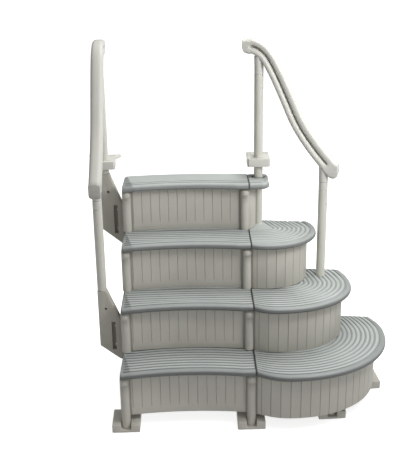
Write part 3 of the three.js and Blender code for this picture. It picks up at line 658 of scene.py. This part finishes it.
def top_right_tread():
    """The small top tread: a rounded front block, and a lower shelf round the post."""
    node = "tread_right_4"
    low, high = box(node)
    front = FRONT[4]
    hub = (SEAM_RIGHT, SHELF_FRONT)
    corner = (high.x - TOP_FRONT_CORNER, front + TOP_FRONT_CORNER)
    lip = [((x, front), (0.0, 1.0)) for x in spread(SEAM_RIGHT, corner[0], 10)]
    for angle in spread(0, math.pi / 2, 14)[1:]:
        out = (math.sin(angle), -math.cos(angle))
        place = (corner[0] + TOP_FRONT_CORNER * out[0], corner[1] + TOP_FRONT_CORNER * out[1])
        lip.append((place, (-out[0], -out[1])))
    lip += [((high.x, y), (-1.0, 0.0)) for y in spread(corner[1], SHELF_FRONT, 10)[1:]]

    def depth_at(station):
        (x, y), _ = lip[station]
        return math.hypot(x - hub[0], y - hub[1])

    def point_at(station, inset):
        (x, y), (nx, ny) = lip[station]
        straight = min(inset, TOP_STRAIGHT)
        start = (x + nx * straight, y + ny * straight)
        part = (inset - straight) / max(1e-6, depth_at(station) - straight)
        return start[0] + (hub[0] - start[0]) * part, start[1] + (hub[1] - start[1]) * part, 0.0

    def groove_at(station, inset):
        fade = smooth_step((TOP_GROOVED - station) / TOP_GROOVE_FADE) if station > 0 else 0.0
        return groove_share(inset, PITCH["left"], BORDER + 0.5 * PITCH["left"]) * fade

    post = centre("post_upper_right")
    hole = TUBE_RADIUS + POST_CLEARANCE

    def shelf(bm, grooves):
        """The shelf in painted shade, a ring of quads from the post's hole out to its edges, and
        the notches as dark prisms of painted shadow.
        """
        bottom, top = low.z, high.z - SHELF_DROP
        left, right = SEAM_RIGHT, high.x
        near, far = SHELF_FRONT + 0.3 * MM, high.y + SHELF_EXTRA
        inner, outer = [], []
        for dx, dy in circle(SHELF_SIDES):
            reach = min(
                ((right if dx > 0 else left) - post.x) / dx if abs(dx) > 1e-6 else 1.0,
                ((far if dy > 0 else near) - post.y) / dy if abs(dy) > 1e-6 else 1.0,
            )
            x, y = post.x + dx * reach, post.y + dy * reach
            cx, cy = right - SHELF_CORNER, far - SHELF_CORNER
            if x > cx and y > cy:
                away = math.hypot(x - cx, y - cy)
                x, y = cx + (x - cx) * SHELF_CORNER / away, cy + (y - cy) * SHELF_CORNER / away
            outer.append((x, y))
            inner.append((post.x + dx * hole, post.y + dy * hole))
        slope = SHELF_SLOPE
        soft = [(x + (post.x - x) * slope, y + (post.y - y) * slope) for x, y in outer]
        levels = [(inner, bottom), (outer, bottom), (outer, top - SHELF_EDGE)]
        levels += [(soft, top), (inner, top)]
        made = add_rings(bm, [[(x, y, z) for x, y in ring] for ring, z in levels])
        bridge(bm, made[-1], made[0])
        # Painted shade: the shelf's top darker than its sides.
        for _, z in levels:
            grooves.extend([SHELF_TOP_SHADE if z >= top else SHELF_SIDE_SHADE] * SHELF_SIDES)
        for across, back, half_width, half_depth in NOTCHES:
            outline = [
                (post.x + (across + half_width * x) * MM, post.y + (back + half_depth * y) * MM)
                for x, y in circle(12)
            ]
            raised = high.z if post.y + (back - half_depth) * MM < SHELF_FRONT else top
            # Each notch is fully dark: painted shadow.
            add_prism(bm, grooves, outline, top - SHELF_EDGE, raised + 0.4 * MM, 1.0)
        fill_seam(bm, grooves, 4, high.y)

    def seam_at(station):
        return TOP_SEAM_SHARE if station == 0 else 0.0

    build_tread(node, range(len(lip)), point_at, depth_at, groove_at, TOP_SAMPLES, seam_at, shelf)


for number in STEPS:
    left_tread(number)
for number in FAN_SHAPE:
    right_tread(number)
top_right_tread()

# ---- risers ----

GROOVE_OFFSETS = [-4, -2.4, -1.4, -0.6, 0, 0.6, 1.4, 2.4, 4]  # mm from a groove's middle


def path_at(path, distance):
    """The point and the left-hand normal of a polyline at a distance along it."""
    for (x0, y0), (x1, y1) in zip(path, path[1:]):
        length = math.hypot(x1 - x0, y1 - y0)
        if distance <= length or (x1, y1) == path[-1]:
            part = distance / length
            normal = (-(y1 - y0) / length, (x1 - x0) / length)
            return (x0 + (x1 - x0) * part, y0 + (y1 - y0) * part), normal
        distance -= length
    raise ValueError("the distance is past the path's end")


def path_length(path):
    return sum(math.hypot(b[0] - a[0], b[1] - a[1]) for a, b in zip(path, path[1:]))


def riser(node, path, groove_places, groove_end, painted_groove_shade):
    """A wall along a path, its face cut by upright grooves that end above its foot."""
    low, high = (corner.z for corner in box(node))
    total = path_length(path)
    places = {0.0, total, 0.7 * MM, total - 0.7 * MM}
    places.update(spread(4 * MM, total - 4 * MM, int(total / (12 * MM))))
    for place in SEAT_PLACES:
        places.update((place, total - place))
    for groove in groove_places:
        places.update(groove + offset * MM for offset in GROOVE_OFFSETS)
    stations = sorted(p for p in places if 0 <= p <= total)
    shadow = high - LIP_SHADOW
    levels = [low, low + 0.8 * MM, low + 2.5 * MM, shadow - 4 * MM, shadow, high]
    if groove_end > 0:
        levels[3:3] = [low + groove_end - 5 * MM, low + groove_end, low + groove_end + 4 * MM]
    rows = []
    grooves = []
    for z in levels:
        edge = {low: 2.5 * MM, low + 0.8 * MM: 0.8 * MM}.get(z, 0.0)  # its foot is rounded
        gate = 1.0 if groove_end == 0 else smooth_step((z - low - groove_end + 5 * MM) / (7 * MM))
        outer = []
        inner = []
        for station in stations:
            (x, y), (nx, ny) = path_at(path, station)
            nearest = min((abs(station - g) for g in groove_places), default=1.0)
            share = gate * max(0.0, 1 - nearest / RISER_GROOVE_HALF) ** RISER_GROOVE_POWER
            depth = max(edge, share * RISER_GROOVE)
            outer.append((x + nx * depth, y + ny * depth, z))
            inner.append((x + nx * RISER_THICK, y + ny * RISER_THICK, z))
            # Painted shade at the ends, where the riser enters its columns, and painted shadow
            # under the lip.
            inside = RISER_SEAT + SEAT_REACH - min(station, total - station)
            painted_seat_shade = SEAT_SHADE * smooth_step(inside / SEAT_FADE)
            under_lip = LIP_SHADOW_SHADE if z >= shadow else 0.0
            grooves.append(max(painted_groove_shade * share, painted_seat_shade, under_lip))
        rows.append(outer + inner[::-1])
        grooves.extend([0.0] * len(inner))
    bm = bmesh.new()
    made = add_rings(bm, rows)
    for row in (made[0], made[-1]):
        for i in range(len(stations) - 1):
            bm.faces.new((row[i], row[i + 1], row[-i - 2], row[-i - 1]))
    add_piece(node, bm, grooves)


def left_riser(step):
    node = f"riser_left_{step}"
    low, high = box(node)
    depth = high.y - low.y - RISER_THICK
    half = (high.x - low.x) / 2
    radius = (half * half + depth * depth) / (2 * depth)
    path = []
    for x in spread(low.x - RISER_SEAT, high.x + RISER_SEAT, 40):
        away = x - low.x - half
        bow = math.sqrt(max(0.0, radius * radius - away * away))
        path.append((x, low.y + depth - radius + bow))
    middle = path_length(path) / 2
    offsets = [i - (LEFT_GROOVES - 1) / 2 for i in range(LEFT_GROOVES)]
    places = [middle + offset * LEFT_GROOVE_PITCH for offset in offsets]
    riser(node, path, places, LEFT_GROOVE_END, RISER_SHADE["left"])


def right_riser(step):
    """The add-on's wall is a row of flat planks with a groove at each joint."""
    node = f"riser_right_{step}"
    start_x = box(node)[0].x - RISER_SEAT
    first = (start_x - SEAM_RIGHT) / (FAN_SHAPE[step][0] - SEAM_RIGHT) - 1
    angles = spread(first, 0, 14) + spread(0, 1, 60)[1:] + spread(1, 2, 16)[1:]
    curve = [fan_curve(step, RISER_INSET, angle, RISER_SIDE_INSET[step]) for angle in angles]
    total = path_length(curve)
    joints = [PLANK * (0.6 + i) for i in range(int(total / PLANK - 0.7) + 1)]
    path = [path_at(curve, distance)[0] for distance in (0.0, *joints, total)]
    places = [path_length(path[: i + 2]) for i in range(len(joints))]
    riser(node, path, places, 0.0, RISER_SHADE["right"])


for number in STEPS:
    left_riser(number)
for number in FAN_SHAPE:
    right_riser(number)

# ---- columns ----


def column(node):
    """A round column, its knuckle standing out at the front of its top."""
    low, high = box(node)
    axis_x = (low.x + high.x) / 2
    axis_y = high.y - COLUMN_RADIUS
    knee = high.z - KNUCKLE_HEIGHT + KNUCKLE_RADIUS
    bottom = knee - KNUCKLE_RADIUS
    levels = [low.z, low.z + 0.8 * MM, low.z + 2.5 * MM]
    levels += spread(low.z + 12 * MM, bottom - 4 * MM, 6)
    levels += [*spread(bottom - 0.4 * MM, knee, 14), *spread(high.z - DOME, high.z - 0.2 * MM, 12)]
    rows = []
    grooves = []
    for z in levels:
        edge = {low.z: 2 * MM, low.z + 0.8 * MM: 0.6 * MM}.get(z, 0.0)  # its foot is rounded
        ball = KNUCKLE_RADIUS**2 - max(0.0, knee - z) ** 2
        shadow = smooth_step((z - bottom + KNUCKLE_SHADOW) / KNUCKLE_SHADOW)
        under = shadow if z < bottom else 0.0
        row = []
        for side, back in circle(COLUMN_SIDES):
            forward = -back
            reach = COLUMN_RADIUS - edge
            room = ball - (KNUCKLE_FORWARD * side) ** 2
            if room > 0:
                reach = max(reach, KNUCKLE_FORWARD * forward + math.sqrt(room))
            rounding = math.sqrt(1 - max(0.0, (z - high.z + DOME) / DOME) ** 2)
            reach *= 1 - (1 - rounding) * smooth_step(forward + 0.4)
            row.append((axis_x + reach * side, axis_y + reach * back, z))
            # Painted shade in the creases beside the risers, and painted shadow under the knuckle.
            crease = CREASE_SHADE * smooth_step((abs(side) - CREASE_FROM) / CREASE_FADE)
            grooves.append(max(KNUCKLE_SHADE * under * max(0.0, forward) ** 2, crease))
        rows.append(row)
    bm = bmesh.new()
    add_rings(bm, rows, capped=True)
    add_piece(node, bm, grooves)


for number in STEPS:
    column(f"column_left_{number}")
    column(f"column_centre_{number}")

# ---- handrails ----


def catmull_rom(points, per_span):
    """A smooth line through the points."""
    padded = [points[0], *points, points[-1]]
    line = []
    for a, b, c, d in zip(padded, padded[1:], padded[2:], padded[3:]):
        for i in range(per_span):
            t = i / per_span
            place = []
            for p, q, r, s in zip(a, b, c, d):
                square = (2 * p - 5 * q + 4 * r - s) * t**2
                cube = (3 * q - p - 3 * r + s) * t**3
                place.append(0.5 * (2 * q + (r - p) * t + square + cube))
            line.append(tuple(place))
    return [*line, points[-1]]


def rail_stations():
    """(upper edge, lower edge) pairs in the rail's plane, from its head to its tail."""
    line = catmull_rom([(along * MM, z * MM) for along, z in RAIL_LINE], 9)
    total = path_length(line)
    pairs = []
    walked = 0.0
    for i, (along, z) in enumerate(line):
        ahead = line[min(i + 1, len(line) - 1)]
        behind = line[max(i - 1, 0)]
        length = math.hypot(ahead[0] - behind[0], ahead[1] - behind[1])
        normal = (-(ahead[1] - behind[1]) / length, (ahead[0] - behind[0]) / length)
        if i:
            walked += math.hypot(along - line[i - 1][0], z - line[i - 1][1])
        half = RAIL_HALF[0] + (RAIL_HALF[1] - RAIL_HALF[0]) * walked / total
        upper = (along + normal[0] * half, z + normal[1] * half)
        lower = (along - normal[0] * half, z - normal[1] * half)
        pairs.append((upper, lower))
    head, tail = [
        [[(along * MM, z * MM) for along, z in section] for section in part]
        for part in (RAIL_HEAD, RAIL_TAIL)
    ]
    gap = 4 * MM

    def between(edge, along):
        return head[-1][edge][0] + gap < along < tail[0][edge][0] - gap

    middle = [pair for pair in pairs if all(between(edge, pair[edge][0]) for edge in (0, 1))]
    return head + middle + tail


RAIL_PROFILE = [  # share of the way from the lower to the upper edge, plain and recessed half width
    (0.0, 0.0, 0.0), (0.0, 0.3, 0.3), (0.012, 0.58, 0.54), (0.04, 0.78, 0.72), (0.09, 0.93, 0.87),
    (0.15, 0.99, 0.96), (0.22, 1.0, 1.0), (0.28, 1.0, 0.98), (0.33, 1.0, 0.92), (0.37, 1.0, 0.84),
    (0.4, 1.0, 0.75), (0.42, 1.0, 0.66), (0.435, 1.0, 0.54), (0.445, 1.0, 0.46), (0.49, 1.0, 0.44),
    (0.53, 1.0, 0.46), (0.535, 1.0, 0.6), (0.55, 1.0, 0.79), (0.59, 1.0, 0.9), (0.65, 1.0, 0.96),
    (0.72, 1.0, 0.985), (0.78, 1.0, 1.0), (0.84, 0.98, 0.98), (0.9, 0.91, 0.91), (0.95, 0.78, 0.78),
    (0.985, 0.58, 0.58), (1.0, 0.3, 0.3), (1.0, 0.0, 0.0),
]
RECESS = (0.44, 0.535)  # shares between which the sides carry painted shade, in the recess
# how dark that painted shade in the recess is
RECESS_SHADE = 0.7
HEAD_OPENING = 0.06  # how much further up the recess reaches at the rail's head
OPENING_FROM, OPENING_FADE = -10 * MM, 150 * MM  # where along the rail that runs out


def handrail(side):
    node = f"handrail_{side}"
    upper_post = centre(f"post_upper_{side}")
    lower_post = centre(f"post_lower_{side}")
    run = Vector((lower_post.x - upper_post.x, lower_post.y - upper_post.y, 0))
    spacing = run.length
    run.normalize()
    across = Vector((-run.y, run.x, 0))
    origin = Vector((upper_post.x, upper_post.y, 0))
    points = []
    grooves = []
    for upper, lower in rail_stations():
        middle = (upper[0] + lower[0]) / 2
        web = smooth_step((middle - WEB_ENDS[0]) / WEB_FADE[0])
        web *= smooth_step((WEB_ENDS[1] - middle) / WEB_FADE[1])
        opening = HEAD_OPENING * (1 - smooth_step((middle - OPENING_FROM) / OPENING_FADE))
        # Painted shade along the rail, more towards its lower end.
        tail_share = smooth_step((middle - TAIL_FROM) / TAIL_FADE)
        mapped = RAIL_SHADE[side] + (TAIL_SHADE[side] - RAIL_SHADE[side]) * tail_share
        half_ring = []
        for share, plain, thin in RAIL_PROFILE:
            # Only the part between the recess and the rail's top is lifted.
            lift = opening * web * smooth_step((share - 0.45) / 0.12)
            lift *= smooth_step((1 - share) / 0.25)
            width = (plain + (thin - plain) * web) * RAIL_WIDTH / 2
            dark = RECESS_SHADE * web if RECESS[0] < share < RECESS[1] else mapped
            half_ring.append((share + lift, width, dark))
        line = []
        for share, width, dark in half_ring + [(s, -w, d) for s, w, d in half_ring[-2:0:-1]]:
            along = lower[0] + (upper[0] - lower[0]) * share
            z = lower[1] + (upper[1] - lower[1]) * share
            line.append(origin + run * along + across * width + Vector((0, 0, z)))
            grooves.append(dark)
        points.append(line)

    def rounded_end(line, direction):
        """Rings that turn the rail's last section into its flat end."""
        middle = sum(line, Vector()) / len(line)
        rings = []
        for angle in spread(0, math.pi / 2, 4)[1:]:
            inward = RAIL_END_ROUND * (1 - math.cos(angle))
            forward = direction * (RAIL_END_ROUND * math.sin(angle))
            ring = []
            for point in line:
                to_middle = middle - point
                step = to_middle.normalized() * min(inward, to_middle.length * 0.5)
                ring.append(point + step + forward)
            rings.append(ring)
        return rings

    head = rounded_end(points[0], -run)[::-1]
    tail = rounded_end(points[-1], run)
    count = len(points[0])
    # The rounded ends carry the same painted shade.
    grooves = [RAIL_SHADE[side]] * (count * len(head)) + grooves
    grooves += [TAIL_SHADE[side]] * (count * len(tail))
    bm = bmesh.new()
    add_rings(bm, head + points + tail, capped=True)
    bmesh.ops.triangulate(bm, faces=[f for f in bm.faces if len(f.verts) > 4])

    for along, end in ((0.0, "upper"), (spacing, "lower")):
        joint = box(f"post_{end}_{side}")[1].z
        axis = origin + run * along
        shank = (joint, STUB_PLAIN) if end == "upper" else (RING_AT, STUB_RING)
        rings = []
        for base, part in ((joint, STUB_FOOT), shank, (STUB_INTO[end], STUB_END)):
            for radius, up, dark in part:
                turned = [(x * radius * MM, y * radius * MM) for x, y in circle(STUB_SIDES)]
                rings.append([axis + Vector((x, y, base + up * MM)) for x, y in turned])
                grooves.extend([dark] * STUB_SIDES)
        add_rings(bm, rings, capped=True)
    add_piece(node, bm, grooves)


handrail("left")
handrail("right")

# ---- posts, brackets, flanges and feet ----


def bored(bm, start, end, radius):
    """Cuts a round hole from start to end."""
    turn = (end - start).to_track_quat("Z", "Y").to_matrix().to_4x4()
    cutter = bmesh.new()
    bmesh.ops.create_cone(
        cutter, cap_ends=True, segments=32, radius1=radius, radius2=radius,
        depth=(end - start).length, matrix=Matrix.Translation((start + end) / 2) @ turn,
    )
    cut_away(bm, cutter)


def post(node):
    """A tube with a slightly rounded rim, a joint line at its top and the hole of its button."""
    low, high = box(node)
    axis = (low + high) / 2
    inner = TUBE_RADIUS - TUBE_WALL
    profile = [(inner, low.z), (TUBE_RADIUS - 1 * MM, low.z), (TUBE_RADIUS, low.z + 1.5 * MM)]
    profile += [(TUBE_RADIUS, z) for z in spread(low.z + 6 * MM, high.z - 6 * MM, 14)]
    profile += [(TUBE_RADIUS, high.z - 3.5 * MM), (TUBE_RADIUS - 0.3 * MM, high.z - 3 * MM)]
    profile += [(TUBE_RADIUS - 2.2 * MM, high.z), (inner, high.z)]
    rings = []
    for radius, z in [*profile, profile[0]]:
        turns = circle(TUBE_SIDES)
        rings.append([(axis.x + radius * x, axis.y + radius * y, z) for x, y in turns])
    bm = bmesh.new()
    add_rings(bm, rings)
    bmesh.ops.remove_doubles(bm, verts=bm.verts, dist=1e-6)
    button = centre(node.replace("post", "snap_button"))
    outward = Vector((button.x - axis.x, button.y - axis.y, 0)).normalized()
    middle = Vector((axis.x, axis.y, button.z))
    start = middle + outward * (inner - BORE_EXTRA)
    bored(bm, start, middle + outward * (TUBE_RADIUS + BORE_EXTRA), BUTTON_HOLE)
    add_piece(node, bm)


for where in ("upper_left", "lower_left", "upper_right", "lower_right"):
    post(f"post_{where}")


BRACKET_FRONT, BRACKET_REAR = 12 * MM, 15 * MM  # plain margins of a bracket
BRACKET_HOLE = (40 * MM, 161 * MM, 8 * MM)  # from its left edge, from its top, and its radius
BRACKET_SLOT = (60 * MM, 12 * MM, 230 * MM)  # from its left and right edges and its top
# painted shade in the slot
SLOT_SHADE = 0.6


def bracket_shade(node):
    """The painted shade of a bracket's points: its hole and its slot are darker."""
    low, high = box(node)
    across, down, radius = BRACKET_HOLE
    left, right, slot_down = BRACKET_SLOT

    def shade(point):
        if not low.y + BRACKET_FRONT < point.y < high.y - BRACKET_REAR:
            return 0.0
        if math.hypot(point.x - low.x - across, point.z - high.z + down) < radius:
            return 1.0
        in_slot = point.z < high.z - slot_down and low.x + left < point.x < high.x - right
        return SLOT_SHADE if in_slot else 0.0

    return shade


SIDE_PANELS = [  # front, rear, bottom and top of the left plate's panels, in mm
    (62, 248, 84, 276), (352, 662, 84, 276), (352, 662, 330, 552), (474, 622, 604, 760),
]
PANEL_DEPTH = 6 * MM
PANEL_CORNER = 22 * MM
PANEL_OUTSIDE = 5 * MM  # how far outside the plate their cutter starts


def side_panels():
    """What is cut from the outer face of the left side plate: shallow moulded panels."""
    plate = box("side_frame_left")[0]
    cutter = bmesh.new()
    for panel in SIDE_PANELS:
        front, rear, bottom, top = (edge * MM for edge in panel)
        corners = ((rear, top), (front, top), (front, bottom), (rear, bottom))
        outline = []
        for turn, (y, z) in enumerate(corners):
            hub_y = y - PANEL_CORNER if y == rear else y + PANEL_CORNER
            hub_z = z - PANEL_CORNER if z == top else z + PANEL_CORNER
            for angle in spread(turn * math.pi / 2, (turn + 1) * math.pi / 2, 7):
                dy, dz = PANEL_CORNER * math.cos(angle), PANEL_CORNER * math.sin(angle)
                outline.append((hub_y + dy, hub_z + dz))
        sides = [
            [(plate.x + SPLAY * (y - plate.y) + depth, y, z) for y, z in outline]
            for depth in (-PANEL_OUTSIDE, PANEL_DEPTH)
        ]
        add_rings(cutter, sides, capped=True)
    return cutter


for level in ("upper", "lower"):
    refined(f"bracket_{level}", 2 * MM, shade=bracket_shade(f"bracket_{level}"))
for side in ("left", "right"):
    refined(f"deck_flange_{side}", 2.5 * MM, body=f"deck_flange_{side}_body")
for foot in ("front_left", "front_centre", "mid_right", "corner_right", "rear_left", "rear_centre"):
    refined(f"foot_{foot}", 4 * MM)
refined("side_frame_left", 2 * MM, cutter=side_panels())
for plate in ("centre", "addon"):
    refined(f"side_frame_{plate}", 3 * MM)
plank = refined("riser_right_4", 2 * MM)
for vertex in plank.data.vertices:
    if vertex.co.x < box("riser_right_4")[0].x + 3 * MM:  # its left end reaches into its column
        vertex.co.x -= RISER_SEAT

KEPT = ("snap_button", "bracket_bolt", "leg_", "post_socket")  # nodes that keep their CAD shape
for name in frame["nodes"]:
    if name.startswith(KEPT):
        mesh = frame["nodes"][name].data
        mesh.materials.clear()
        mesh.materials.append(SLOTS[NODE_SLOT[name]])

# ---- floor, light and camera ----

CAMERA_AT = (-0.2884, -3.9996, 2.5821)
CAMERA_TURN = (69.255, 0.686, -1.505)  # degrees about X, Y and Z
CAMERA_LENS = 69.38  # mm, on a sensor 36 mm wide
FLOOR_HALF = 40
FLOOR_DROP = 0.5 * MM  # keeps the floor clear of the feet's undersides
FLOOR_GLOW = 0.75  # keeps the shadow on the floor faint
WALL_AWAY = 38
WALL_SIDES = 64
WALL_BOTTOM, WALL_TOP = -1, 30
SKY_LEVEL = 0.24
SKY_LOBES = [  # direction, strength and narrowness
    ((0.5, -0.85, 0.1), 0.42, 2.5),
    ((0.1, 0.2, 1.0), 0.33, 2.0),
]


def stage_object(name, bm, gray, roughness, glow):
    """An object of a plain gray material that glows white."""
    made = new_object(name, bm)
    bm.free()
    material, _, _, shader = new_material(name)
    shader.inputs["Base Color"].default_value = (gray, gray, gray, 1)
    shader.inputs["Roughness"].default_value = roughness
    shader.inputs["Emission Color"].default_value = (1, 1, 1, 1)
    shader.inputs["Emission Strength"].default_value = glow
    made.data.materials.append(material)
    return made


def floor():
    bm = bmesh.new()
    bmesh.ops.create_grid(bm, x_segments=1, y_segments=1, size=FLOOR_HALF)
    plane = stage_object("floor", bm, 0.9, 0.9, FLOOR_GLOW)
    plane.location.z = -FLOOR_DROP
    plane.visible_diffuse = False


def backdrop():
    """A far white wall all round that neither lights the object nor shades it."""
    bm = bmesh.new()
    ring = [(x * WALL_AWAY, y * WALL_AWAY) for x, y in circle(WALL_SIDES)]
    add_rings(bm, [[(x, y, z) for x, y in ring] for z in (WALL_BOTTOM, WALL_TOP)])
    wall = stage_object("backdrop", bm, 0.0, 1.0, 1.0)
    wall.visible_diffuse = False
    wall.visible_glossy = False
    wall.visible_shadow = False


def camera():
    data = bpy.data.cameras.new("camera")
    data.sensor_width = 36
    data.lens = CAMERA_LENS
    data.clip_end = 100
    eye = bpy.data.objects.new("camera", data)
    eye.location = CAMERA_AT
    eye.rotation_euler = Euler([math.radians(turn) for turn in CAMERA_TURN])
    bpy.context.scene.collection.objects.link(eye)
    bpy.context.scene.camera = eye


def lit_sky(base, lobes):
    """A sky that is base bright all round, and brighter towards each lobe's direction.
    A lobe is (direction, strength, narrowness)."""
    world = bpy.data.worlds.new("studio")
    world.use_nodes = True
    nodes = world.node_tree.nodes
    links = world.node_tree.links
    place = nodes.new("ShaderNodeTexCoord")

    def math_step(operation, source, *values):
        node = nodes.new("ShaderNodeMath")
        node.operation = operation
        links.new(source, node.inputs[0])
        for socket, value in zip(node.inputs[1:], values):
            socket.default_value = value
        return node

    total = None
    for direction, strength, narrowness in lobes:
        facing = nodes.new("ShaderNodeVectorMath")
        facing.operation = "DOT_PRODUCT"
        facing.inputs[1].default_value = Vector(direction).normalized()
        links.new(place.outputs["Generated"], facing.inputs[0])
        ahead = math_step("MAXIMUM", facing.outputs["Value"], 0.0)
        shape = math_step("POWER", ahead.outputs["Value"], narrowness)
        rest = base if total is None else 0.0
        share = math_step("MULTIPLY_ADD", shape.outputs["Value"], strength, rest)
        if total is not None:
            links.new(total, share.inputs[2])
        total = share.outputs["Value"]
    links.new(total, nodes["Background"].inputs["Strength"])
    nodes["Background"].inputs["Color"].default_value = (1, 1, 1, 1)
    bpy.context.scene.world = world


def soft_box(name, place, aim, width, power):
    """A square lamp that points at aim and is not seen itself."""
    lamp = bpy.data.lights.new(name, "AREA")
    lamp.energy = power
    lamp.size = width
    light = bpy.data.objects.new(name, lamp)
    light.location = place
    light.visible_camera = False
    light.rotation_euler = (Vector(place) - Vector(aim)).to_track_quat("Z", "Y").to_euler()
    bpy.context.scene.collection.objects.link(light)


floor()
backdrop()
camera()
lit_sky(SKY_LEVEL, SKY_LOBES)
soft_box("key", place=(1.2, 1.0, 4.6), aim=(0.0, 0.3, 0.6), width=2.6, power=112)
soft_box("fill", place=(1.15, -0.55, 2.25), aim=(0.1, 0.5, 1.3), width=0.7, power=24)
bpy.context.scene.view_settings.view_transform = "Standard"
